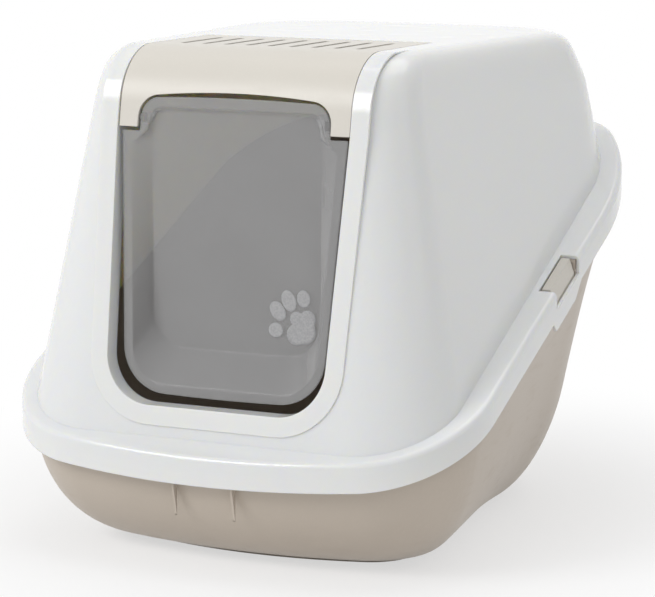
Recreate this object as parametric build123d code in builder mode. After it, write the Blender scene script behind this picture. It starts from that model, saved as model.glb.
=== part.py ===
"""Hooded litter tray: a deep tray, a hood on a slanted rim, a hinged vent panel and a swing flap.

Millimetres. X to the right, the doorway faces -Y, Z up from the floor. The origin is on the floor,
under the middle of the rim.
"""
from build123d import *
from math import atan, cos, pi, radians, sin, sqrt, tan
import os

# Rim, seen from above
rim_width = 390.0
rim_length = 510.0
front_bow = 26.0
rear_bow = 30.0
front_corner = 88.0
rear_corner_inset = 10.0
rear_corner = rim_width / 2 - rear_corner_inset

# Rim, seen from the side: its lower edge climbs from the front and levels out behind
rim_front_height = 69.0
rim_slope = 25.6
level_run = 63.0
level_start = rim_length / 2 - level_run
knee_radius = 60.0
skirt_height = 19.3
skirt_wall = 2.5
rim_edge_radius = 4.5

# Hood
overall_height = 385.0
hood_wall = 2.5
ledge_width = 18.0
front_lean = 9.8
side_lean = 11.0
rear_lean = 38.0
roof_front_inset = 69.0
roof_front_half = rim_width / 2 - roof_front_inset
roof_rear_inset = 45.0
roof_rear_half = rim_width / 2 - roof_rear_inset
roof_rear_setback = 98.0
roof_rear = rim_length / 2 - roof_rear_setback
roof_rear_bow = 18.0
roof_front_corner = 34.0
roof_rear_corner = 62.0
front_top_radius = 48.0
side_top_radius = 18.0
rear_top_radius = 26.0
hood_foot_inset = 15.5
hood_foot_depth = 12.0
hood_front_corner = 70.0
hood_rear_tuck = 25.0
hood_rear_corner = rear_corner - hood_rear_tuck
hood_rear_bow = 28.0

# Doorway through the hood's front and roof
door_side = 29.0
door_half_width = roof_front_half - door_side
door_taper = 7.0
door_foot_half_width = door_half_width - door_taper
sill_rise = 53.0
door_sill = rim_front_height + sill_rise
door_corner = 38.0
door_run = 203.0
door_rear = door_run - rim_length / 2
frame_band = 14.5
frame_proud = 1.2
jamb_wall = 2.5
jamb_depth = 13.0

# Tray
tray_wall = 3.0
tray_floor = 3.2
tray_inset = 10.0
tray_front_inset = 8.0
tray_front_corner = 80.0
tray_corner_ease = 1.0
tray_rear_corner = rear_corner - tray_inset - tray_corner_ease
belly_height = 95.0
belly_steps = (0.0, 0.06, 0.2, 0.45, 0.75, 1.0)
foot_height = 4.0
foot_side_inset = 66.0
foot_half_width = rim_width / 2 - foot_side_inset
foot_front_inset = 80.0
foot_front = foot_front_inset - rim_length / 2
foot_rear_inset = 65.0
foot_rear = rim_length / 2 - foot_rear_inset
foot_corner = 49.0
foot_rear_corner = 115.0
foot_rib = 6.0
foot_inset = 2.0
flange_thickness = 2.5
flange_lip = 2.0
flange_lip_drop = 7.0
front_rib_spacing = 49.0
front_rib_thickness = 2.0
front_rib_depth = 26.0
front_rib_reach = 4.5

# Fits
seat_gap = 0.3
skirt_gap = 0.8
panel_gap = 1.0
pin_gap = 0.06
notch_gap = 3.0

# Vent panel over the doorway
panel_wall = 2.4
panel_drop = 59.0
panel_bottom = overall_height - panel_drop
barrel_radius = 4.5
barrel_setback = 1.5
hinge_pin_radius = 1.9
hinge_pin_length = 4.2
arm_width = 14.5
notch_half_width = door_half_width - arm_width
notch_drop = 31.5
notch_top = overall_height - notch_drop
notch_corner = 17.0
notch_draw = 2.0
notch_crown = 5.0
notch_shoulder = notch_top - notch_crown
stop_width = 2.5
stop_wall = 2.5
slot_count = 9
slot_width = 5.0
slot_length = 64.0
slot_setback = 54.0
slot_middle = door_rear - slot_setback

# Filter under the slots
filter_side_room = 22.0
filter_width = 2 * (door_half_width - filter_side_room)
slot_side_room = 1.0
slot_pitch = (filter_width - 2 * slot_side_room) / (slot_count - 1)
filter_length = 70.0
filter_thickness = 8.0
holder_wall = 1.6
holder_flange = 3.0
rail_wall = 1.6
rail_drop = 6.2
rail_foot = overall_height - rail_drop
holder_depth = 10.5
filter_gap = 0.5
pad_corner = 4.0
grid_slot = 9.0
grid_bar = 3.0

# Flap
pivot_drop = 52.0
pivot_height = overall_height - pivot_drop
flap_setback = 1.5
flap_lean = 6.5
flap_wall = 1.8
flap_top = 17.0
flap_top_corner = 15.0
flap_shoulder = -10.0
flap_side_gap = 3.0
flap_shoulder_half = door_half_width - flap_side_gap
flap_foot_gap = 7.5
flap_foot_half = door_foot_half_width - flap_foot_gap
flap_sill_gap = 4.0
flap_foot = door_sill + flap_sill_gap - pivot_height
flap_corner = 37.0
pivot_depth = 4.2
flap_pin_radius = 2.4
flap_boss_radius = 4.2
flap_pin_reach = 9.0
flap_pin_root = 1.0
arm_boss_radius = 5.0
arm_boss_width = 8.0
neck_draw = 2.0
flap_boss_setback = 5.5
recess_top = 8.0
recess_border = 7.5
recess_neck_border = 10.5
recess_top_half = notch_half_width - recess_neck_border
recess_shoulder_half = flap_shoulder_half - recess_border
recess_foot_half = flap_foot_half - recess_border
recess_foot = flap_foot + recess_border
recess_draw = 1.0
recess_back_half = recess_top_half - recess_draw
recess_foot_draw = 5.0
recess_back_foot_half = recess_foot_half - recess_foot_draw
recess_rise = 34.0
recess_back_foot = flap_foot + recess_rise
recess_top_depth = 2.5
recess_depth = 21.0
recess_corner = 28.0
recess_edge = 5.0
recess_back_top = recess_top - recess_edge / 2

# Side catches in the rim
catch_middle = -12.0
catch_length = 40.0
catch_gap = 2.0
catch_wall = 4.0
catch_foot = 1.0
catch_head = 18.8
catch_nose = 9.0
catch_pin_radius = 1.5
catch_pivot = 3.0
catch_pin_reach = 2.5
catch_lip = 2.6
pocket_top = 14.5
ear_wall = 3.0
ear_low = -2.0
ear_high = 7.0
ear_gap = 4.0
ear_outer = rim_width / 2 - ear_gap
catch_swing_room = 1.9
window_length = 46.0
window_sill = 7.0
tab_drop = 8.0
tab_flare = 7.0
tab_root = 1.0

reach = overall_height + rim_length
half_width = rim_width / 2
front_y = -rim_length / 2
rear_y = rim_length / 2
slope = radians(rim_slope)
lean = radians(front_lean)
level_height = rim_front_height + (level_start - front_y) * tan(slope)


def rim_point(y, above=0.0):
    """Height of the line that lies above the rim's lower edge, on its sloping stretch."""
    return rim_front_height + (y - front_y) * tan(slope) + above / cos(slope)


def rim_line(above):
    """Corner points of that line in side view: front, knee and rear."""
    knee_y = level_start - above * tan(slope / 2)
    knee_z = level_height + above
    return (-reach, knee_z - (knee_y + reach) * tan(slope)), (knee_y, knee_z), (reach, knee_z)


def rim_slab(low, high):
    """Slab between two lines that follow the rim, across the whole width."""
    with BuildPart() as slab:
        with BuildSketch(Plane.YZ):
            with BuildLine():
                lower = FilletPolyline(*rim_line(low), radius=knee_radius + low)
                upper = FilletPolyline(*rim_line(high), radius=knee_radius + high)
                Line(lower @ 0, upper @ 0)
                Line(lower @ 1, upper @ 1)
            make_face()
        extrude(amount=reach, both=True)
    return slab.part


def rounded_outline(plane, halves, ends, bows, corners, inset=0.0):
    """Plan outline on a plane: half widths, end positions, bows and corner radii, front then rear."""
    front_half, rear_half = halves
    front, rear = ends
    front_arc, rear_arc = bows
    front_radius, rear_radius = corners
    with BuildSketch(plane) as outline:
        with BuildLine():
            if front_arc > 0:
                near = ThreePointArc((-front_half, front + front_arc), (0, front),
                                     (front_half, front + front_arc))
            else:
                near = Line((-front_half, front), (front_half, front))
            right = Line(near @ 1, (rear_half, rear - rear_arc))
            far = ThreePointArc(right @ 1, (0, rear), (-rear_half, rear - rear_arc))
            Line(far @ 1, near @ 0)
        make_face()
        fillet(outline.vertices().sort_by(Axis.Y)[:2], radius=front_radius)
        fillet(outline.vertices().sort_by(Axis.Y)[-2:], radius=rear_radius)
        if inset > 0:
            offset(amount=-inset)
    return outline.sketch


def rim_prism(inset):
    """Upright block with the rim's plan outline, drawn in from its outer edge."""
    with BuildPart() as prism:
        add(rounded_outline(Plane.XY, (half_width, half_width), (front_y, rear_y),
                            (front_bow, rear_bow), (front_corner, rear_corner), inset))
        extrude(amount=reach)
    return prism.part


# Side profile of the hood in the middle: leaning front, round front top and level roof
ledge_front_y = front_y + ledge_width
ledge_front_z = rim_point(ledge_front_y, skirt_height)
side_angle = radians(side_lean)
rear_angle = radians(rear_lean)


def front_surface(z):
    """Y of the hood's leaning front at a height below its rounded top."""
    return ledge_front_y + (z - ledge_front_z) * tan(lean)


def profile_line(inset):
    """Points of the hood's front and roof in side view, moved in by inset, or with its front proud."""
    corner_z = overall_height - max(inset, 0.0)
    corner_y = front_surface(corner_z) + inset / cos(lean)
    foot_y = front_surface(0.0) + inset / cos(lean)
    return (foot_y, 0.0), (corner_y, corner_z), (reach, corner_z)


def profile_band(outer, inner, half, low_z, rear_limit):
    """Sheet that follows the hood's front and roof between two depths, down to a height."""
    with BuildPart() as band:
        with BuildSketch(Plane.YZ):
            with BuildLine():
                skin = FilletPolyline(*profile_line(outer), radius=front_top_radius - outer)
                back = FilletPolyline(*profile_line(inner), radius=front_top_radius - inner)
                Line(skin @ 0, back @ 0)
                Line(skin @ 1, back @ 1)
            make_face()
            with Locations((rear_limit - reach, low_z + reach)):
                Rectangle(2 * reach, 2 * reach, mode=Mode.INTERSECT)
        extrude(amount=half, both=True)
    return band.part


def crown_edge(z, corner, radius, angle):
    """Outward place of a wall that leans in as it rises and ends in a rounded top edge."""
    drop = overall_height - z
    if drop >= radius * (1 - sin(angle)):
        return corner + drop * tan(angle)
    centre = corner + radius * tan(angle) - radius / cos(angle)
    return centre + sqrt(radius ** 2 - (radius - drop) ** 2)


roof_front = front_surface(overall_height)
crown_start = overall_height - front_top_radius * (1 - sin(lean))
crown_steps = (0.0, 0.35, 0.62, 0.82, 0.94, 1.0)


def hood_section(z, inset):
    """Level section of the hood in its rounded crown, moved in and down by inset."""
    grow = (overall_height - z) * tan(side_angle)
    front_half = crown_edge(z, roof_front_half, side_top_radius, side_angle) - inset
    rear_half = crown_edge(z, roof_rear_half, side_top_radius, side_angle) - inset
    front = -crown_edge(z, -roof_front, front_top_radius, lean) + inset
    rear = crown_edge(z, roof_rear, rear_top_radius, rear_angle) - inset
    return rounded_outline(Plane.XY.offset(z - inset), (front_half, rear_half), (front, rear),
                           (0.0, roof_rear_bow),
                           (roof_front_corner + grow - inset, roof_rear_corner + grow - inset))


# Sloping plane that the hood's walls start from, a little below its ledge
foot_low = rim_point(front_y, skirt_height) - hood_foot_depth
foot_high = level_height + skirt_height - hood_foot_depth
foot_tilt = (foot_high - foot_low) / rim_length
foot_angle = atan(foot_tilt)
foot_middle = (foot_low + foot_high) / 2
foot_plane = Plane(origin=(0, 0, foot_middle), x_dir=(1, 0, 0),
                   z_dir=(0, -sin(foot_angle), cos(foot_angle)))


def hood_foot(inset):
    """Outline of the hood on its sloping foot plane, moved in by inset."""
    start = (front_surface(foot_middle)) / (1 - tan(lean) * foot_tilt) + inset / cos(lean)
    half = half_width - hood_foot_inset - inset
    end = rear_y - hood_foot_inset - inset
    return rounded_outline(foot_plane, (half, half), (start / cos(foot_angle), end / cos(foot_angle)),
                           (0.0, hood_rear_bow), (hood_front_corner - inset, hood_rear_corner - inset))


def hood_body(inset):
    """Closed body of the hood above its foot plane, moved in by inset."""
    heights = [crown_start + step * (overall_height - crown_start) for step in crown_steps]
    with BuildPart() as body:
        add(hood_foot(inset))
        add(hood_section(crown_start, inset))
        loft(ruled=True)
    with BuildPart() as crown:
        for height in heights:
            add(hood_section(height, inset))
        loft(ruled=inset > 0)
    with BuildPart() as whole:
        add(body.part)
        add(crown.part)
    return whole.part


def below_rim(high):
    """Everything below the line that lies so far above the rim's lower edge."""
    with BuildPart() as block:
        with BuildSketch(Plane.YZ):
            with BuildLine():
                upper = FilletPolyline(*rim_line(high), radius=knee_radius + high)
                Polyline(upper @ 0, (-reach, -reach), (reach, -reach), upper @ 1)
            make_face()
        extrude(amount=reach, both=True)
    return block.part


def side_plate(points, inner, outer):
    """Plates on both sides of the rim: points are (y, height above the rim's edge)."""
    with BuildPart() as plates:
        with BuildSketch(Plane.YZ.offset(inner)):
            with BuildLine():
                Polyline(*[(y, rim_point(y, above)) for y, above in points], close=True)
            make_face()
        extrude(amount=outer - inner)
        mirror(about=Plane.YZ)
    return plates.part


def rim_patch(start, end, low, high):
    """Corner points of a patch of the rim's side: its ends along Y, then its heights above the edge."""
    return [(start, low), (end, low), (end, high), (start, high)]


def door_prism(grow):
    """Straight passage through the hood's front and roof with the doorway's outline."""
    with BuildPart() as prism:
        with BuildSketch(Plane.XZ.offset(-door_rear)) as outline:
            with BuildLine():
                Polyline((-door_foot_half_width, door_sill), (door_foot_half_width, door_sill),
                         (door_half_width, panel_bottom), (door_half_width, reach),
                         (-door_half_width, reach), (-door_half_width, panel_bottom), close=True)
            make_face()
            fillet(outline.vertices().sort_by(Axis.Y)[:2], radius=door_corner)
            if grow > 0:
                offset(amount=grow)
        extrude(amount=reach)
    return prism.part


def cross_rod(y, z, radius, start, end):
    """Round rod along X, and its mirror image on the other side."""
    with BuildPart() as rods:
        with BuildSketch(Plane.YZ.offset(start)):
            with Locations((y, z)):
                Circle(radius)
        extrude(amount=end - start)
        mirror(about=Plane.YZ)
    return rods.part


hinge_y = door_rear - barrel_setback - barrel_radius
hinge_z = overall_height - barrel_radius
panel_half = door_half_width - panel_gap
window_front = catch_middle - window_length / 2
window_end = catch_middle + window_length / 2
ledge_inner = half_width - ledge_width + hood_wall

# Hood
with BuildPart() as hood:
    add(rim_prism(0.0))
    add(rim_slab(0.0, skirt_height), mode=Mode.INTERSECT)
    top_faces = hood.faces().filter_by(lambda face: face.normal_at().Z > 0.5)
    fillet([edge for edge in top_faces.edges() if edge not in top_faces.edges().filter_by(Axis.X)],
           radius=rim_edge_radius)
    add(hood_body(0.0))
    add(rim_prism(skirt_wall) & rim_slab(-knee_radius / 2, skirt_height - skirt_wall), mode=Mode.SUBTRACT)
    add(hood_body(hood_wall), mode=Mode.SUBTRACT)
    frame_sheet = profile_band(-frame_proud, hood_wall / 2, half_width, 0.0, roof_front + reach)
    add(door_prism(frame_band) & frame_sheet)
    jamb_sheet = profile_band(hood_wall / 2, jamb_depth, half_width, 0.0, door_rear)
    add((door_prism(jamb_wall) - door_prism(0.0)) & jamb_sheet)
    with Locations((0, door_rear + jamb_wall / 2, overall_height - (hood_wall + jamb_depth) / 2)):
        Box(2 * (door_half_width + jamb_wall), jamb_wall, jamb_depth - hood_wall / 2)
    add(door_prism(0.0), mode=Mode.SUBTRACT)
    stop_top = panel_wall + seat_gap
    stop_limits = (panel_bottom + 2 * stop_wall, hinge_y - 2 * barrel_radius)
    stops = profile_band(stop_top, stop_top + stop_wall, door_half_width + jamb_wall / 2, *stop_limits)
    add(stops - profile_band(stop_top - 1, stop_top + stop_wall + 1, door_half_width - stop_width,
                             *stop_limits))
    add(cross_rod(hinge_y, hinge_z, hinge_pin_radius + pin_gap, door_half_width - 1,
                  door_half_width + jamb_wall + 1), mode=Mode.SUBTRACT)
    add(side_plate([(window_front - tab_flare, tab_root), (window_front, -tab_drop),
                    (window_end - tab_flare, -tab_drop), (window_end + tab_flare, tab_root)],
                   half_width - skirt_wall, half_width))
    add(side_plate(rim_patch(window_front, window_end, window_sill, skirt_height + window_sill),
                   ledge_inner, half_width + 1), mode=Mode.SUBTRACT)
hood.part.label = "hood"


# Tray: round belly below, nearly upright walls above, cut off along the slanted rim
tray_top = skirt_height - skirt_wall - seat_gap
wall_half = half_width - tray_inset
wall_front = front_y + tray_front_inset
wall_rear = rear_y - tray_inset


def tray_section(z, inset):
    """Level section of the tray, moved in and up by its wall and floor where inset is given."""
    rise = min((z - foot_height) / (belly_height - foot_height), 1.0)
    draw = 1 - sqrt(1 - (1 - rise) ** 2)
    half = wall_half - draw * (wall_half - foot_half_width) - inset
    front = wall_front - draw * (wall_front - foot_front) + inset
    rear = wall_rear - draw * (wall_rear - foot_rear) - inset
    near_corner = tray_front_corner - draw * (tray_front_corner - foot_corner) - inset
    far_corner = tray_rear_corner - draw * (tray_rear_corner - foot_rear_corner) - inset
    lift = tray_floor if inset > 0 else 0.0
    return rounded_outline(Plane.XY.offset(z + lift), (half, half), (front, rear),
                           (front_bow, rear_bow), (near_corner, far_corner))


def tray_body(inset):
    """Closed body of the tray from its floor to above its rim, moved in by inset."""
    with BuildPart() as belly:
        for step in belly_steps:
            add(tray_section(foot_height + step * (belly_height - foot_height), inset))
        loft(ruled=inset > 0)
    with BuildPart() as wall:
        add(tray_section(belly_height, inset))
        extrude(amount=reach - belly_height)
    with BuildPart() as body:
        add(belly.part)
        add(wall.part)
    return body.part


def foot_block(inset):
    """Low block with the outline of the tray's bottom, moved in by inset."""
    with BuildPart() as block:
        add(rounded_outline(Plane.XY, (foot_half_width, foot_half_width), (foot_front, foot_rear),
                            (front_bow, rear_bow), (foot_corner, foot_rear_corner), inset))
        extrude(amount=foot_height + tray_floor / 2)
    return block.part


pocket_half = catch_length / 2 + catch_gap
pocket_ends = (catch_middle - pocket_half, catch_middle + pocket_half)
catch_axis_x = wall_half + catch_wall
catch_plane = Plane(origin=(0, catch_middle, rim_point(catch_middle)), x_dir=(1, 0, 0),
                    z_dir=(0, -cos(slope), -sin(slope)))


def catch_rod(radius, half_length):
    """Rod along the slanted rim on each side, at the catches' pivots."""
    with BuildPart() as rods:
        with BuildSketch(catch_plane):
            with Locations((catch_axis_x, catch_pivot), (-catch_axis_x, catch_pivot)):
                Circle(radius)
        extrude(amount=half_length / cos(slope), both=True)
    return rods.part


with BuildPart() as tray:
    add(tray_body(0.0))
    add(rim_prism(skirt_wall + skirt_gap) & rim_slab(tray_top - flange_thickness, tray_top))
    add((rim_prism(skirt_wall + skirt_gap) - rim_prism(skirt_wall + skirt_gap + flange_lip))
        & rim_slab(tray_top - flange_lip_drop, tray_top))
    add(side_plate(rim_patch(*pocket_ends, -flange_lip_drop, skirt_height), wall_half, half_width),
        mode=Mode.SUBTRACT)
    add(side_plate(rim_patch(*pocket_ends, pocket_top, skirt_height), wall_half - tray_wall - 1, half_width),
        mode=Mode.SUBTRACT)
    add(below_rim(tray_top), mode=Mode.INTERSECT)
    for side in (-1, 1):
        with BuildSketch(Plane.YZ.offset(side * front_rib_spacing / 2 - front_rib_thickness / 2)):
            with BuildLine():
                Polyline((wall_front + tray_wall, rim_front_height - front_rib_depth),
                         (wall_front - front_rib_reach, rim_front_height + flange_lip_drop),
                         (wall_front + tray_wall, rim_front_height + 2 * flange_lip_drop), close=True)
            make_face()
        extrude(amount=front_rib_thickness)
    for start in (catch_middle - pocket_half - ear_wall, catch_middle + pocket_half):
        add(side_plate(rim_patch(start, start + ear_wall, ear_low, ear_high),
                       wall_half - tray_wall / 2, ear_outer))
    add(catch_rod(catch_pin_radius + pin_gap, pocket_half + ear_wall), mode=Mode.SUBTRACT)
    add(tray_body(tray_wall), mode=Mode.SUBTRACT)
    add(foot_block(foot_inset) - foot_block(foot_inset + foot_rib))
tray.part.label = "tray"


# Side catches: tongues on slanted pins that show in the windows of the hood's rim
catch_inner = wall_half + catch_swing_room
catch_outer = half_width - skirt_wall - skirt_gap
lip_end = wall_half - tray_wall - catch_foot
with BuildPart() as right_catch:
    with BuildSketch(catch_plane):
        with BuildLine():
            Polyline((catch_inner, catch_foot), (catch_outer - catch_foot, catch_foot),
                     (catch_outer, catch_pivot + catch_foot), (catch_outer, catch_nose),
                     (catch_inner + catch_foot, catch_head), (lip_end, catch_head),
                     (lip_end, catch_head - catch_lip), (catch_inner, catch_head - catch_lip), close=True)
        make_face()
    extrude(amount=catch_length, both=True)
    with Locations((half_width, catch_middle, rim_point(catch_middle))):
        Box(half_width, catch_length, half_width, mode=Mode.INTERSECT)
    with BuildSketch(catch_plane):
        with Locations((catch_axis_x, catch_pivot)):
            Circle(catch_pin_radius)
    extrude(amount=(pocket_half + catch_pin_reach) / cos(slope), both=True)
right_catch.part.label = "right_catch"

with BuildPart() as left_catch:
    mirror(right_catch.part, about=Plane.YZ)
left_catch.part.label = "left_catch"


# Vent panel: follows the hood's front and roof inside the doorway, hinged along its rear edge
pivot_base_y = front_surface(pivot_height) + flap_setback / cos(lean)
flap_angle = radians(flap_lean)
flap_plane = Plane(origin=(0, pivot_base_y, pivot_height), x_dir=(1, 0, 0),
                   z_dir=(0, -cos(flap_angle), sin(flap_angle)))
pivot_y = pivot_base_y + pivot_depth * cos(flap_angle)
pivot_z = pivot_height - pivot_depth * sin(flap_angle)
panel_under = overall_height - panel_wall
holder_half = filter_width / 2 + filter_gap + holder_wall
rail_half = holder_half + holder_flange + seat_gap
rail_length = filter_length + 2 * holder_wall
with BuildPart() as front_panel:
    add(profile_band(0.0, panel_wall, panel_half, panel_bottom, hinge_y))
    with BuildSketch(Plane.YZ):
        with Locations((hinge_y, hinge_z)):
            Circle(barrel_radius)
    extrude(amount=panel_half, both=True)
    add(cross_rod(hinge_y, hinge_z, hinge_pin_radius, panel_half - 1, panel_half + hinge_pin_length))
    with BuildSketch(Plane.XZ) as notch:
        with BuildLine():
            Polyline((-notch_half_width, 0), (notch_half_width, 0),
                     (notch_half_width - notch_draw, notch_shoulder))
            ThreePointArc((notch_half_width - notch_draw, notch_shoulder), (0, notch_top),
                          (-notch_half_width + notch_draw, notch_shoulder))
            Line((-notch_half_width + notch_draw, notch_shoulder), (-notch_half_width, 0))
        make_face()
        fillet(notch.vertices().sort_by(Axis.Y)[-2:], radius=notch_corner)
    extrude(amount=reach, mode=Mode.SUBTRACT)
    with BuildSketch(Plane.XY.offset(overall_height)):
        with Locations((0, slot_middle)):
            with GridLocations(slot_pitch, slot_pitch, slot_count, 1):
                SlotOverall(slot_length, slot_width, rotation=90)
    extrude(amount=-2 * panel_wall, mode=Mode.SUBTRACT)
    add(cross_rod(pivot_y, pivot_z, arm_boss_radius, notch_half_width, notch_half_width + arm_boss_width))
    add(cross_rod(pivot_y, pivot_z, flap_pin_radius + pin_gap, notch_half_width - 1,
                  notch_half_width + arm_boss_width + 1), mode=Mode.SUBTRACT)
    for side in (-1, 1):
        with BuildSketch(Plane.XZ.offset(-slot_middle)):
            with BuildLine():
                Polyline((side * rail_half, panel_under + panel_wall / 2),
                         (side * (rail_half + rail_wall), panel_under + panel_wall / 2),
                         (side * (rail_half + rail_wall), rail_foot),
                         (side * (rail_half - holder_flange + seat_gap), rail_foot),
                         (side * (rail_half - holder_flange + seat_gap), rail_foot + rail_wall),
                         (side * rail_half, rail_foot + rail_wall), close=True)
            make_face()
        extrude(amount=rail_length / 2, both=True)
front_panel.part.label = "front_panel"


# Filter: a pad in a grid tray that hangs on the panel's rails
holder_top = panel_under - seat_gap
pad_bottom = holder_top - holder_depth + holder_wall + filter_gap
with BuildPart() as filter_holder:
    with Locations((0, slot_middle, holder_top - holder_wall / 2)):
        Box(2 * (holder_half + holder_flange), rail_length, holder_wall)
    with Locations((0, slot_middle, holder_top - holder_depth / 2)):
        Box(2 * holder_half, rail_length, holder_depth)
    with Locations((0, slot_middle, holder_top - (holder_depth - holder_wall) / 2)):
        Box(2 * (holder_half - holder_wall), filter_length + 2 * filter_gap - holder_wall,
            holder_depth - holder_wall, mode=Mode.SUBTRACT)
    with Locations((0, slot_middle, holder_top - holder_depth)):
        with GridLocations(grid_slot + grid_bar, 0, int(filter_width // (grid_slot + grid_bar)), 1):
            Box(grid_slot, filter_length - 4 * grid_bar, 4 * holder_wall, mode=Mode.SUBTRACT)
filter_holder.part.label = "filter_holder"

with BuildPart() as filter_pad:
    with Locations((0, slot_middle, pad_bottom + filter_thickness / 2)):
        Box(filter_width, filter_length - holder_wall, filter_thickness)
    fillet(filter_pad.edges().filter_by(Axis.Z), radius=pad_corner)
filter_pad.part.label = "filter_pad"


# Flap: a thin plate between the panel's arms, with a deep window pressed into it
neck_half = notch_half_width - notch_gap
recess_tilt = atan((recess_depth - recess_top_depth) / (recess_top - recess_back_foot))
recess_plane = flap_plane.offset(-recess_top_depth - recess_top * tan(recess_tilt)).rotated(
    (recess_tilt * 180 / pi, 0, 0))


def recess_outline(plane, points, grow):
    """Outline of the pressed window on a plane, mirrored from its right-hand corner points."""
    with BuildSketch(plane) as outline:
        with BuildLine():
            Polyline(*points, *[(-x, y) for x, y in reversed(points)], close=True)
        make_face()
        fillet(outline.vertices().sort_by(Axis.Y)[:2], radius=recess_corner)
        fillet(outline.vertices().sort_by(Axis.Y)[-2:], radius=recess_edge)
        if grow > 0:
            offset(amount=grow)
    return outline.sketch


def recess_body(grow):
    """Body between the window's mouth in the plate and its sunk back."""
    with BuildPart() as body:
        add(recess_outline(flap_plane, [(recess_top_half, recess_top), (recess_top_half, flap_shoulder),
                                        (recess_shoulder_half, 2 * flap_shoulder),
                                        (recess_foot_half, recess_foot)], grow))
        add(recess_outline(recess_plane.offset(-grow), [(recess_back_half, recess_back_top),
                                                        (recess_back_half, flap_shoulder),
                                                        (recess_back_half, 2 * flap_shoulder),
                                                        (recess_back_foot_half, recess_back_foot)], grow))
        loft(ruled=True)
    return body.part


with BuildPart() as flap:
    with BuildSketch(flap_plane) as plate:
        with BuildLine():
            crest = ThreePointArc((neck_half - neck_draw, flap_top - neck_draw), (0, flap_top),
                                  (neck_draw - neck_half, flap_top - neck_draw))
            left_side = Polyline(crest @ 1, (-neck_half, flap_shoulder), (-flap_shoulder_half, flap_shoulder),
                                 (-flap_foot_half, flap_foot + neck_draw))
            sill = ThreePointArc(left_side @ 1, (0, flap_foot), (flap_foot_half, flap_foot + neck_draw))
            Polyline(sill @ 1, (flap_shoulder_half, flap_shoulder), (neck_half, flap_shoulder), crest @ 0)
        make_face()
        fillet(plate.vertices().sort_by(Axis.Y)[:2], radius=flap_corner)
        fillet(plate.vertices().sort_by(Axis.Y)[-2:], radius=flap_top_corner)
    extrude(amount=-flap_wall)
    add(recess_body(flap_wall))
    add(cross_rod(pivot_y, pivot_z, flap_boss_radius, neck_half - flap_boss_setback, neck_half))
    add(cross_rod(pivot_y, pivot_z, flap_pin_radius, neck_half - flap_pin_root, neck_half + flap_pin_reach))
    add(recess_body(0.0), mode=Mode.SUBTRACT)
flap.part.label = "flap"


os.makedirs("parts", exist_ok=True)
export_step(tray.part, "parts/tray.step")
export_step(hood.part, "parts/hood.step")
export_step(front_panel.part, "parts/front_panel.step")
export_step(flap.part, "parts/flap.step")
export_step(filter_holder.part, "parts/filter_holder.step")
export_step(filter_pad.part, "parts/filter_pad.step")
export_step(left_catch.part, "parts/left_catch.step")
export_step(right_catch.part, "parts/right_catch.step")
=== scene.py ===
"""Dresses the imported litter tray: moulded plastics, the clear flap with its printed paw, and the studio."""
import logging
import math
from dataclasses import dataclass
from enum import Enum
from typing import Any, Iterable

import bmesh
import bpy
from mathutils import Matrix, Vector, noise


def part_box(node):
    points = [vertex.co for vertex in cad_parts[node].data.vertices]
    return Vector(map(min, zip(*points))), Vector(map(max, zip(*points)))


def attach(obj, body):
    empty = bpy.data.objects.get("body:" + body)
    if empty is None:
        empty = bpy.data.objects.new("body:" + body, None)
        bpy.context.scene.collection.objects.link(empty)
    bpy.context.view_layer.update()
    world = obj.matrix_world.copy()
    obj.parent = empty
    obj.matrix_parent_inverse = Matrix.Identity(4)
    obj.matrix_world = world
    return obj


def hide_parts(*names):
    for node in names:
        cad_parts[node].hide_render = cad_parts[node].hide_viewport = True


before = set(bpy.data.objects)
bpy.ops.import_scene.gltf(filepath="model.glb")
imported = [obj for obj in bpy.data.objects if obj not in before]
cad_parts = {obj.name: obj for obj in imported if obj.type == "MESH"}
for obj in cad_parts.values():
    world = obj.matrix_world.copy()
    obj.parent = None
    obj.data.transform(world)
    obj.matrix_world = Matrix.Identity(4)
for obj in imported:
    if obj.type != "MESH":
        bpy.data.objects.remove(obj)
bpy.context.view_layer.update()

Colour = tuple[float, float, float]
Triple = tuple[float, float, float]
Steps = tuple[float, float]
PLAIN_WHITE = (1.0, 1.0, 1.0, 1.0)
EVEN = (1.0, 1.0, 1.0)
LOG = logging.getLogger("litter_tray")


class Body(Enum):
    """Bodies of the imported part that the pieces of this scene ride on."""

    TRAY = "tray"
    PANEL = "front_panel"
    FLAP = "flap"


class Slot(Enum):
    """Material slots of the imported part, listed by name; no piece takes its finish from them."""

    GREY = "warm_grey"
    FELT = "charcoal_pad"
    CLEAR = "smoky_clear"


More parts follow.
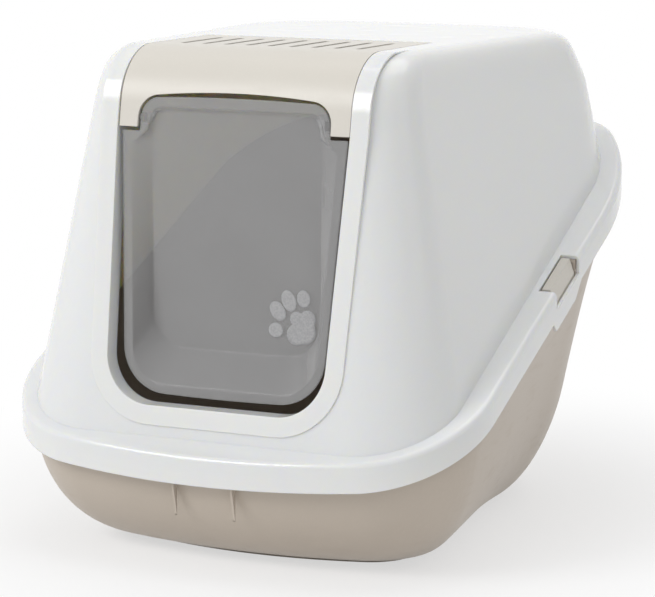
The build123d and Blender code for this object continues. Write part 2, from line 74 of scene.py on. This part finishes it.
class Value:
    """A number socket of a material, with arithmetic that adds its Math nodes."""

    def __init__(self, shader: "Shader", socket: bpy.types.NodeSocket) -> None:
        """Wraps a socket of the shader's tree.

        Args:
            shader: the tree's wrapper.
            socket: an output socket of one of its nodes.
        """
        self.shader = shader
        self.socket = socket

    def _maths(self, operation: str, first: Any, second: Any) -> "Value":
        """Adds one Math node.

        Args:
            operation: name of the Math node's operation.
            first: a number or Value for its first socket.
            second: a number or Value for its second socket.

        Returns:
            The node's result.
        """
        made = self.shader.node("ShaderNodeMath", {"operation": operation}, {0: first, 1: second})
        return Value(self.shader, made.outputs[0])

    def __add__(self, other: Any) -> "Value":
        """Sum with a number or Value."""
        return self._maths("ADD", self, other)

    def __radd__(self, other: Any) -> "Value":
        """Sum with a number on the left."""
        return self._maths("ADD", other, self)

    def __sub__(self, other: Any) -> "Value":
        """Difference from a number or Value."""
        return self._maths("SUBTRACT", self, other)

    def __rsub__(self, other: Any) -> "Value":
        """Difference with a number on the left."""
        return self._maths("SUBTRACT", other, self)

    def __mul__(self, other: Any) -> "Value":
        """Product with a number or Value."""
        return self._maths("MULTIPLY", self, other)

    def __rmul__(self, other: Any) -> "Value":
        """Product with a number on the left."""
        return self._maths("MULTIPLY", other, self)

    def __pow__(self, other: Any) -> "Value":
        """Power with a number or Value."""
        return self._maths("POWER", self, other)

    def highest(self, other: Any) -> "Value":
        """Larger of this and a number or Value."""
        return self._maths("MAXIMUM", self, other)

    def ramp(self, low: float, high: float) -> "Value":
        """Soft step from 0 at low to 1 at high.

        Args:
            low: value at which the step begins.
            high: value at which it ends.

        Returns:
            The step as a Value.
        """
        made = self.shader.node("ShaderNodeMapRange", {"interpolation_type": "SMOOTHSTEP"},
                                {"Value": self, "From Min": low, "From Max": high})
        return Value(self.shader, made.outputs[0])


class Shader:
    """One material or world tree that is being wired."""

    def __init__(self, owner: Any) -> None:
        """Empties the node tree of a material or world.

        Args:
            owner: the material or world.
        """
        owner.use_nodes = True
        self.tree = owner.node_tree
        self.tree.nodes.clear()

    def node(self, kind: str, settings: dict[str, Any] | None = None,
             sockets: dict[Any, Any] | None = None) -> bpy.types.Node:
        """Adds a node, sets what it does, then its sockets.

        Args:
            kind: the node's type.
            settings: properties of the node, set first.
            sockets: numbers, colours, Values or output sockets by input name or index.

        Returns:
            The node.
        """
        made = self.tree.nodes.new(kind)
        for name, setting in (settings or {}).items():
            setattr(made, name, setting)
        for name, given in (sockets or {}).items():
            given = given.socket if isinstance(given, Value) else given
            if isinstance(given, bpy.types.NodeSocket):
                self.tree.links.new(given, made.inputs[name])
            else:
                made.inputs[name].default_value = given
        return made

    def place(self, stretch: Triple = EVEN) -> bpy.types.NodeSocket:
        """Position on the piece, in metres, stretched along the axes.

        Args:
            stretch: factors along X, Y and Z.

        Returns:
            The position's socket.
        """
        coordinates = self.node("ShaderNodeTexCoord")
        mapping = self.node("ShaderNodeMapping", None, {"Vector": coordinates.outputs["Object"],
                                                        "Scale": Vector(stretch)})
        return mapping.outputs[0]

    def grain(self, size: float, detail: float, stretch: Triple = EVEN) -> Value:
        """Noise over the piece.

        Args:
            size: how large its lumps are, in metres.
            detail: how many finer layers it has.
            stretch: factors along X, Y and Z.

        Returns:
            The noise, from 0 to 1.
        """
        made = self.node("ShaderNodeTexNoise", None,
                         {"Vector": self.place(stretch), "Scale": 1.0 / size, "Detail": detail})
        return Value(self, made.outputs[0])

    def blended(self, amount: Value, low: Colour, high: Colour) -> bpy.types.NodeSocket:
        """Colour between two colours.

        Args:
            amount: 0 for the first colour, 1 for the second.
            low: the first colour.
            high: the second colour.

        Returns:
            The colour's socket.
        """
        made = self.node("ShaderNodeMix", {"data_type": "RGBA"},
                         {0: amount, 6: (*low, 1.0), 7: (*high, 1.0)})
        return made.outputs[2]

    def seen_directly(self) -> Value:
        """Is 1 for rays that show the background, also through gloss and clear plastic, and else 0."""
        rays = self.node("ShaderNodeLightPath")
        camera, glossy, through = (Value(self, rays.outputs[name]) for name in
                                   ("Is Camera Ray", "Is Glossy Ray", "Is Transmission Ray"))
        return camera.highest(glossy).highest(through)

    def relief(self, height: Value, depth: float, under: bpy.types.NodeSocket | None = None
               ) -> bpy.types.NodeSocket:
        """Normal of a surface with a fine relief.

        Args:
            height: the relief, from 0 to 1.
            depth: its depth in metres.
            under: normal that the relief is laid over, if any.

        Returns:
            The bent normal.
        """
        sockets = {"Height": height, "Distance": depth, "Strength": 1.0}
        if under is not None:
            sockets["Normal"] = under
        return self.node("ShaderNodeBump", None, sockets).outputs[0]

    def soft_edge(self, radius: float, samples: int = 4) -> bpy.types.NodeSocket:
        """Normal that rounds the piece's sharp edges over a radius in metres."""
        return self.node("ShaderNodeBevel", {"samples": samples}, {"Radius": radius}).outputs[0]

    def principled(self, sockets: dict[Any, Any]) -> None:
        """Makes a Principled surface with these sockets the tree's output."""
        self.surface(self.node("ShaderNodeBsdfPrincipled", None, sockets).outputs[0])

    def surface(self, shader: bpy.types.NodeSocket, kind: str = "ShaderNodeOutputMaterial") -> None:
        """Wires a shader to the tree's output."""
        self.node(kind, None, {"Surface": shader})


@dataclass(frozen=True)
class MouldedPlastic:
    """Injection-moulded plastic with a fine skin, faint flow marks and a few rubbed spots."""

    name: str
    colour: Colour
    drift: float
    roughness: float
    rubbed: float
    skin: float
    skin_depth: float
    edge: float
    coat: float = 0.0
    see_through: float = 0.0
    through_reach: float = 0.004
    through_tint: Colour = (1.0, 0.85, 0.5)
    plain_detail: float = 2.0
    flow_size: float = 0.16
    flow_stretch: Triple = (1.0, 0.6, 0.35)
    flow_steps: Steps = (0.35, 0.65)
    flow_share: float = 0.7
    speck_size: float = 0.0022
    speck_steps: Steps = (0.45, 0.75)
    speck_share: float = 0.3
    scuff_size: float = 0.03
    scuff_detail: float = 5.0
    scuff_stretch: Triple = (1.0, 1.0, 5.0)
    scuff_steps: Steps = (0.52, 0.78)
    fine_share: float = 0.7
    coarse_share: float = 0.3
    coarse_times: float = 9.0
    index: float = 1.49
    coat_roughness: float = 0.08

    def make(self) -> bpy.types.Material:
        """Builds the material.

        Returns:
            The material.
        """
        material = bpy.data.materials.new(self.name)
        shader = Shader(material)
        detail = self.plain_detail
        flow = shader.grain(self.flow_size, detail, self.flow_stretch).ramp(*self.flow_steps)
        speck = shader.grain(self.speck_size, detail).ramp(*self.speck_steps)
        darker = tuple(channel * (1.0 - self.drift) for channel in self.colour)
        mottling = flow * self.flow_share + speck * self.speck_share
        scuffs = shader.grain(self.scuff_size, self.scuff_detail, self.scuff_stretch).ramp(*self.scuff_steps)
        fine = shader.grain(self.skin, detail)
        coarse = shader.grain(self.skin * self.coarse_times, detail)
        height = fine * self.fine_share + coarse * self.coarse_share
        shader.principled({
            "Base Color": shader.blended(mottling, darker, self.colour),
            "Roughness": self.roughness + scuffs * self.rubbed,
            "Normal": shader.relief(height, self.skin_depth, shader.soft_edge(self.edge)),
            "IOR": self.index,
            "Coat Weight": self.coat,
            "Coat Roughness": self.coat_roughness,
            "Subsurface Weight": self.see_through,
            "Subsurface Radius": self.through_tint,
            "Subsurface Scale": self.through_reach,
        })
        return material


@dataclass(frozen=True)
class ClearPlastic:
    """Smoky see-through plastic that grows denser at a glance and along its edges, where its colour is also
    painted paler as a painted sheen for edge reflections.
    """

    name: str
    colour: Colour
    density: float
    rim_density: float
    roughness: float
    edge: float
    detail: float = 3.0
    glance: float = 0.35
    painted_sheen: float = 0.5
    painted_sheen_power: float = 2.0
    density_power: float = 2.5
    haze_size: float = 0.05
    haze_steps: Steps = (0.3, 0.7)
    haze_density: float = 0.02
    scratch_size: float = 0.004
    scratch_stretch: Triple = (1.0, 1.0, 0.08)
    scratch_steps: Steps = (0.6, 0.8)
    scratch_roughness: float = 0.08
    ripple_size: float = 0.02
    ripple_detail: float = 1.0
    ripple_depth: float = 0.00002
    index: float = 1.5

    def make(self) -> bpy.types.Material:
        """Builds the material.

        Returns:
            The material.
        """
        material = bpy.data.materials.new(self.name)
        shader = Shader(material)
        weight = shader.node("ShaderNodeLayerWeight", None, {"Blend": self.glance})
        facing = Value(shader, weight.outputs["Facing"])
        haze = shader.grain(self.haze_size, self.detail).ramp(*self.haze_steps)
        # Painted sheen: the colour turns paler towards a glance, a painted reflection along the flap's edges.
        pale = tuple(self.painted_sheen + channel * (1.0 - self.painted_sheen) for channel in self.colour)
        thicker = facing ** self.density_power * (self.rim_density - self.density)
        scratches = shader.grain(self.scratch_size, self.detail, self.scratch_stretch)
        ripple = shader.grain(self.ripple_size, self.ripple_detail)
        shader.principled({
            "Base Color": shader.blended(facing ** self.painted_sheen_power, self.colour, pale),
            "Alpha": self.density + thicker + haze * self.haze_density,
            "Normal": shader.relief(ripple, self.ripple_depth, shader.soft_edge(self.edge)),
            "Roughness": self.roughness + scratches.ramp(*self.scratch_steps) * self.scratch_roughness,
            "IOR": self.index,
        })
        material.surface_render_method = "BLENDED"
        return material


@dataclass(frozen=True)
class FrostedPrint:
    """Thin pale frosted print on the clear flap, with soft ink grain."""

    name: str
    colour: Colour
    density: float
    roughness: float = 0.55
    grain_size: float = 0.0012
    grain_detail: float = 3.0
    grain_steps: Steps = (0.3, 0.7)
    grain_depth: float = 0.00003
    grain_density: float = 0.06
    grain_roughness: float = 0.1
    thinning: float = 0.94

    def make(self) -> bpy.types.Material:
        """Builds the material.

        Returns:
            The material.
        """
        material = bpy.data.materials.new(self.name)
        shader = Shader(material)
        ink = shader.grain(self.grain_size, self.grain_detail).ramp(*self.grain_steps)
        thin = tuple(channel * self.thinning for channel in self.colour)
        shader.principled({
            "Base Color": shader.blended(ink, thin, self.colour),
            "Alpha": self.density + ink * self.grain_density,
            "Roughness": self.roughness + ink * self.grain_roughness,
            "Normal": shader.relief(ink, self.grain_depth),
        })
        material.surface_render_method = "BLENDED"
        return material


@dataclass(frozen=True)
class CarbonFelt:
    """Charcoal felt: matted dark fibres with paler strands."""

    name: str
    colour: Colour
    strand: Colour
    roughness: float = 0.98
    smoother: float = 0.1
    sheen: float = 0.3
    fibre_size: float = 0.0016
    fibre_detail: float = 6.0
    fibre_depth: float = 0.0006
    along: Triple = (1.0, 0.25, 1.0)
    along_steps: Steps = (0.4, 0.7)
    across: Triple = (0.25, 1.0, 1.0)
    across_steps: Steps = (0.45, 0.75)

    def make(self) -> bpy.types.Material:
        """Builds the material.

        Returns:
            The material.
        """
        material = bpy.data.materials.new(self.name)
        shader = Shader(material)
        fibres = shader.grain(self.fibre_size, self.fibre_detail, self.along).ramp(*self.along_steps)
        crossing = shader.grain(self.fibre_size, self.fibre_detail, self.across).ramp(*self.across_steps)
        mat = fibres.highest(crossing)
        shader.principled({
            "Base Color": shader.blended(mat, self.colour, self.strand),
            "Roughness": self.roughness - mat * self.smoother,
            "Sheen Weight": self.sheen,
            "Normal": shader.relief(mat, self.fibre_depth),
        })
        return material


GLOSS_WHITE = MouldedPlastic(
    "gloss_white_plastic", (0.83, 0.835, 0.825), drift=0.02, roughness=0.17, rubbed=0.08,
    skin=0.0009, skin_depth=0.000006, edge=0.0009, coat=0.3, see_through=0.65)
WARM_GREY = MouldedPlastic(
    "warm_grey_plastic", (0.56, 0.49, 0.415), drift=0.05, roughness=0.42, rubbed=0.12,
    skin=0.0007, skin_depth=0.00003, edge=0.0008)
PALE_BEIGE = MouldedPlastic(
    "pale_beige_plastic", (0.72, 0.685, 0.62), drift=0.04, roughness=0.36, rubbed=0.1,
    skin=0.0008, skin_depth=0.00002, edge=0.0006)
SMOKY_CLEAR = ClearPlastic(
    "smoky_clear_plastic", (0.56, 0.56, 0.565), density=0.34, rim_density=0.8, roughness=0.1, edge=0.002)
PAW_PRINT = FrostedPrint("frosted_paw_print", (0.66, 0.66, 0.67), density=0.45)
CARBON_FELT = CarbonFelt("carbon_felt", (0.012, 0.012, 0.013), strand=(0.07, 0.068, 0.065))


class Assembly:
    """What the sub-assemblies share: dressing a node of the part, cutting a mesh and making a piece."""

    def dress(self, node: str, material: bpy.types.Material) -> None:
        """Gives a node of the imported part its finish.

        Args:
            node: name of the node.
            material: the finish.
        """
        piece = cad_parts[node]
        piece.data.materials.clear()
        piece.data.materials.append(material)
        LOG.info("dressed %s with %s", node, material.name)

    def cut(self, form: bmesh.types.BMesh, axis: int, places: Iterable[float]) -> None:
        """Cuts a mesh through by planes across an axis, so that it can bend there.

        Args:
            form: the mesh.
            axis: 0, 1 or 2 for X, Y or Z.
            places: where on the axis the planes lie, in metres.
        """
        normal = Vector(1.0 if side == axis else 0.0 for side in range(3))
        for place in places:
            bmesh.ops.bisect_plane(form, geom=form.verts[:] + form.edges[:] + form.faces[:],
                                   plane_co=normal * place, plane_no=normal)

    def piece(self, name: str, form: bmesh.types.BMesh, material: bpy.types.Material, body: Body
              ) -> bpy.types.Object:
        """Makes a piece from a mesh and lets it ride on a body.

        Args:
            name: name of the piece.
            form: its mesh, in metres in the part's frame; it is freed.
            material: its finish.
            body: the body that carries it.

        Returns:
            The piece.
        """
        mesh = bpy.data.meshes.new(name)
        form.to_mesh(mesh)
        form.free()
        mesh.materials.append(material)
        made = bpy.data.objects.new(name, mesh)
        bpy.context.scene.collection.objects.link(made)
        for polygon in mesh.polygons:
            polygon.use_smooth = True
        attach(made, body.value)
        LOG.info("made %s with %d faces", name, len(mesh.polygons))
        return made


@dataclass
class Tray(Assembly):
    """The deep tray and the catches in its rim. Its walls draw in towards the foot, most at the rear.

    Heights, places and the layers' thickness are in metres, the slope and the sharp edges' angle in degrees.
    """

    catches: tuple[str, ...] = ("left_catch", "right_catch")
    rim_front_height: float = 0.069
    rim_rear_height: float = 0.283
    rim_slope: float = 25.6
    clear_below_rim: float = 0.01
    side_draw: float = 0.265
    side_power: float = 0.79
    rear_draw: float = 0.102
    rear_power: float = 0.99
    draw_front: float = -0.26
    draw_full: float = 0.09
    still_front: float = -0.16
    layer: float = 0.008
    merge: float = 0.000001
    sharp: float = 35.0

    def rim_height(self, y: float, front: float) -> float:
        """Height of the slanted rim's lower edge.

        Args:
            y: where along the tray.
            front: y of the tray's front.

        Returns:
            The height in metres.
        """
        height = self.rim_front_height + (y - front) * math.tan(math.radians(self.rim_slope))
        return min(max(height, self.rim_front_height), self.rim_rear_height)

    def drawn_in(self, place: Vector, front: float) -> Vector:
        """Where a point of the straight-walled tray goes when its walls draw in.

        Args:
            place: the point, in metres.
            front: y of the tray's front.

        Returns:
            The moved point, at the same height.
        """
        top = self.rim_height(place.y, front) - self.clear_below_rim
        down = min(max((top - place.z) / top, 0.0), 1.0)
        share = min(max((place.y - self.draw_front) / (self.draw_full - self.draw_front), 0.0), 1.0)
        share = share * share * (3.0 - 2.0 * share)
        x = place.x * (1.0 - self.side_draw * down ** self.side_power * share)
        behind = max(place.y - self.still_front, 0.0)
        y = place.y - behind * self.rear_draw * down ** self.rear_power
        return Vector((x, y, place.z))

    def body(self) -> bmesh.types.BMesh:
        """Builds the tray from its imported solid, cut into layers so that its walls can bend.

        Returns:
            The tray's mesh.
        """
        low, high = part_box("tray")
        form = bmesh.new()
        form.from_mesh(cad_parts["tray"].data)
        bmesh.ops.remove_doubles(form, verts=form.verts[:], dist=self.merge)
        for axis in (1, 2):
            layers = int((high[axis] - low[axis]) / self.layer)
            self.cut(form, axis, [low[axis] + step * self.layer for step in range(1, layers)])
        for vertex in form.verts:
            vertex.co = self.drawn_in(vertex.co, low.y)
        return form

    def build(self) -> None:
        """Makes the tray and dresses its catches."""
        grey = WARM_GREY.make()
        shell = self.piece("tray_shell", self.body(), grey, Body.TRAY)
        shell.data.set_sharp_from_angle(angle=math.radians(self.sharp))
        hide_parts("tray")
        pale = PALE_BEIGE.make()
        for node in self.catches:
            self.dress(node, pale)


@dataclass
class Hood(Assembly):
    """The lift-off hood."""

    node: str = "hood"

    def build(self) -> None:
        """Dresses the hood."""
        self.dress(self.node, GLOSS_WHITE.make())


@dataclass
class VentPanel(Assembly):
    """The hinged panel with its filter: the felt pad is a soft piece of its own."""

    inset: float = 0.0003
    edge_radius: float = 0.0016
    edge_segments: int = 3
    lump_depth: float = 0.0004
    lump_size: float = 0.006
    cell: float = 0.004
    fill: float = 0.9

    def felt(self) -> bmesh.types.BMesh:
        """Builds the felt pad: rounded edges and a slightly uneven, matted surface.

        Returns:
            The pad's mesh.
        """
        low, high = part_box("filter_pad")
        size = high - low - Vector((self.inset,) * 3) * 2
        form = bmesh.new()
        bmesh.ops.create_cube(form, size=1.0, matrix=Matrix.Translation((low + high) / 2)
                              @ Matrix.Diagonal((*size, 1.0)))
        bmesh.ops.bevel(form, geom=form.edges[:], offset=self.edge_radius, segments=self.edge_segments,
                        profile=0.5, affect="EDGES")
        for axis in range(3):
            cells = max(int(size[axis] / self.cell), 1)
            first = low[axis] + self.inset
            self.cut(form, axis, [first + size[axis] * step / cells for step in range(1, cells)])
        form.normal_update()
        for vertex in form.verts:
            sunk = 0.5 + 0.5 * noise.noise(vertex.co / self.lump_size)
            vertex.co -= vertex.normal * self.lump_depth * sunk
        return form

    def build(self) -> None:
        """Dresses the panel and holder, and makes the pad."""
        beige = PALE_BEIGE.make()
        self.dress("front_panel", beige)
        self.dress("filter_holder", beige)
        pad = self.piece("felt_pad", self.felt(), CARBON_FELT.make(), Body.PANEL)
        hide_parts("filter_pad")


@dataclass(frozen=True)
class Lobe:
    """One rounded part of the paw: its middle and half sizes in metres, and its turn in degrees.

    The bulges are round swellings of its outline: across, up and radius, as shares of the half sizes.
    """

    across: float
    up: float
    half_width: float
    half_height: float
    turn: float = 0.0
    bulges: tuple[tuple[float, float, float], ...] = ((0.0, 0.0, 1.0),)

    def reach(self, angle: float) -> float:
        """How far the outline lies from the middle.

        Args:
            angle: direction in radians, before the lobe's turn.

        Returns:
            The distance, as a share of the half sizes.
        """
        furthest = 0.0
        for x, y, radius in self.bulges:
            along = x * math.cos(angle) + y * math.sin(angle)
            inside = radius ** 2 - x ** 2 - y ** 2 + along ** 2
            if inside > 0.0:
                furthest = max(furthest, along + math.sqrt(inside))
        return furthest


@dataclass
class SwingFlap(Assembly):
    """The clear flap, with a plain paw printed on its sunk back, whose plane these fields give."""

    back_y: float = -0.19176
    back_z: float = 0.33262
    back_lean: float = 0.664
    proud: float = 0.00012
    dome_power: int = 4
    rings: int = 5
    points: int = 56
    toes: tuple[Lobe, ...] = (
        Lobe(0.0337, -0.1536, 0.0061, 0.0056),
        Lobe(0.0353, -0.1392, 0.0059, 0.0080, 38.0),
        Lobe(0.0444, -0.1310, 0.0058, 0.0083, 24.0),
        Lobe(0.0566, -0.1287, 0.0055, 0.0065, 8.0),
    )
    pad: Lobe = Lobe(0.0549, -0.1503, 0.0122, 0.0126, 0.0, (
        (-0.33, -0.45, 0.66), (-0.33, 0.49, 0.45), (0.42, 0.50, 0.55), (0.20, -0.22, 0.78)))

    def place(self, lobe: Lobe, share: float, step: int, height: float) -> Vector:
        """Point of a lobe of the print.

        Args:
            lobe: the lobe.
            share: how far out from its middle, where 1 is its outline.
            step: how many points round from its first.
            height: how far it stands off the flap's sunk back.

        Returns:
            The point, in metres.
        """
        turn, lean = math.radians(lobe.turn), math.radians(self.back_lean)
        angle = math.tau * step / self.points
        reach = share * lobe.reach(angle)
        x, y = reach * lobe.half_width * math.cos(angle), reach * lobe.half_height * math.sin(angle)
        across = lobe.across + x * math.cos(turn) - y * math.sin(turn)
        rise = lobe.up + x * math.sin(turn) + y * math.cos(turn)
        up = Vector((0.0, math.sin(lean), math.cos(lean)))
        out = Vector((0.0, -math.cos(lean), math.sin(lean)))
        return Vector((across, self.back_y, self.back_z)) + up * rise + out * height

    def ring(self, form: bmesh.types.BMesh, lobe: Lobe, share: float, height: float
             ) -> list[bmesh.types.BMVert]:
        """Ring of points round a lobe, at a share of its outline and a height off the flap."""
        return [form.verts.new(self.place(lobe, share, step, height)) for step in range(self.points)]

    def lobe(self, form: bmesh.types.BMesh, lobe: Lobe) -> None:
        """Adds one lobe of the print as a thin domed disc with a closed back.

        Args:
            form: mesh that it is added to.
            lobe: its place and form.
        """
        crest = form.verts.new(self.place(lobe, 0.0, 0, self.proud * 2))
        shares = [ring / self.rings for ring in range(1, self.rings + 1)]
        rings = [self.ring(form, lobe, share, self.proud * (2.0 - share ** self.dome_power))
                 for share in shares]
        rings.append(self.ring(form, lobe, 1.0, 0.0))
        for step in range(self.points):
            following = (step + 1) % self.points
            form.faces.new((crest, rings[0][step], rings[0][following]))
            for inner, outer in zip(rings, rings[1:]):
                form.faces.new((inner[step], outer[step], outer[following], inner[following]))
        form.faces.new(list(reversed(rings[-1])))

    def build(self) -> None:
        """Dresses the flap and prints the paw."""
        self.dress("flap", SMOKY_CLEAR.make())
        form = bmesh.new()
        for lobe in (*self.toes, self.pad):
            self.lobe(form, lobe)
        bmesh.ops.recalc_face_normals(form, faces=form.faces[:])
        paw = self.piece("paw_print", form, PAW_PRINT.make(), Body.FLAP)


@dataclass(frozen=True)
class Lamp:
    """A soft studio lamp: where it hangs, its sides in metres and its power in watts."""

    name: str
    place: tuple[float, float, float]
    sides: tuple[float, float]
    power: float


@dataclass
class Studio:
    """The pale floor, the white surround, the lamps and the camera."""

    aim: tuple[float, float, float] = (0.0, 0.0, 0.19)
    floor_half: float = 9.0
    floor_cells: int = 8
    floor_colour: Colour = (0.93, 0.93, 0.93)
    fade_stretch: Triple = (1.0, 0.85, 1.0)
    fade_start: float = 0.2
    fade_end: float = 0.5
    least_white: float = 0.6
    surround: float = 0.5
    lamps: tuple[Lamp, ...] = (
        Lamp("key_lamp", (-1.4, -2.3, 1.9), (1.5, 1.2), 36.0),
        Lamp("top_lamp", (0.2, 0.3, 2.4), (1.8, 1.8), 14.0),
        Lamp("side_lamp", (2.4, -0.3, 1.3), (1.0, 1.4), 1.5),
    )
    camera_place: tuple[float, float, float] = (1.0006, -2.0870, 0.5497)
    camera_yaw: float = 26.02
    camera_pitch: float = -9.27
    lens: float = 159.6
    sensor: float = 36.0
    view_reach: float = 50.0

    def floor(self) -> None:
        """Lays the floor, which keeps the shadow and turns plain white further out."""
        form = bmesh.new()
        bmesh.ops.create_grid(form, x_segments=self.floor_cells, y_segments=self.floor_cells,
                              size=self.floor_half)
        mesh = bpy.data.meshes.new("floor")
        form.to_mesh(mesh)
        form.free()
        made = bpy.data.objects.new("floor", mesh)
        bpy.context.scene.collection.objects.link(made)
        material = bpy.data.materials.new("pale_floor")
        shader = Shader(material)
        spread = shader.node("ShaderNodeVectorMath", {"operation": "LENGTH"},
                             {0: shader.place(self.fade_stretch)})
        away = Value(shader, spread.outputs["Value"]).ramp(self.fade_start, self.fade_end)
        white = (self.least_white + away * (1.0 - self.least_white)) * shader.seen_directly()
        matt = shader.node("ShaderNodeBsdfDiffuse", None, {"Color": (*self.floor_colour, 1.0)})
        glow = shader.node("ShaderNodeEmission", None, {"Color": PLAIN_WHITE, "Strength": 1.0})
        mixed = shader.node("ShaderNodeMixShader", None, {0: white, 1: matt.outputs[0], 2: glow.outputs[0]})
        shader.surface(mixed.outputs[0])
        mesh.materials.append(material)
        LOG.info("laid the floor")

    def world(self) -> None:
        """Sets the surround: white to the camera, plain soft light to the object."""
        world = bpy.data.worlds.new("white_surround")
        bpy.context.scene.world = world
        shader = Shader(world)
        plain = shader.node("ShaderNodeBackground", None, {"Color": PLAIN_WHITE, "Strength": self.surround})
        white = shader.node("ShaderNodeBackground", None, {"Color": PLAIN_WHITE, "Strength": 1.0})
        mixed = shader.node("ShaderNodeMixShader", None,
                            {0: shader.seen_directly(), 1: plain.outputs[0], 2: white.outputs[0]})
        shader.surface(mixed.outputs[0], "ShaderNodeOutputWorld")

    def light(self) -> None:
        """Hangs the lamps, each turned to the object."""
        for lamp in self.lamps:
            data = bpy.data.lights.new(lamp.name, "AREA")
            data.shape = "RECTANGLE"
            data.size, data.size_y = lamp.sides
            data.energy = lamp.power
            made = bpy.data.objects.new(lamp.name, data)
            made.location = lamp.place
            made.rotation_mode = "QUATERNION"
            made.rotation_quaternion = (Vector(self.aim) - Vector(lamp.place)).to_track_quat("-Z", "Y")
            bpy.context.scene.collection.objects.link(made)

    def camera(self) -> None:
        """Places the camera at the photograph's viewpoint."""
        yaw, pitch = math.radians(self.camera_yaw), math.radians(self.camera_pitch)
        ahead = Vector((-math.sin(yaw) * math.cos(pitch), math.cos(yaw) * math.cos(pitch), math.sin(pitch)))
        data = bpy.data.cameras.new("studio_camera")
        data.sensor_fit = "HORIZONTAL"
        data.sensor_width = self.sensor
        data.lens = self.lens
        data.clip_end = self.view_reach
        made = bpy.data.objects.new("studio_camera", data)
        made.location = self.camera_place
        made.rotation_mode = "QUATERNION"
        made.rotation_quaternion = ahead.to_track_quat("-Z", "Y")
        bpy.context.scene.collection.objects.link(made)
        bpy.context.scene.camera = made

    def build(self) -> None:
        """Sets up the whole studio."""
        self.floor()
        self.world()
        self.light()
        self.camera()
        bpy.context.scene.view_settings.view_transform = "Standard"


def main() -> None:
    """Builds the sub-assemblies and the studio."""
    logging.basicConfig(level=logging.INFO, format="%(name)s: %(message)s")
    for part in (Tray(), Hood(), VentPanel(), SwingFlap()):
        part.build()
    Studio().build()
    bpy.context.view_layer.update()


if __name__ == "__main__":
    main()
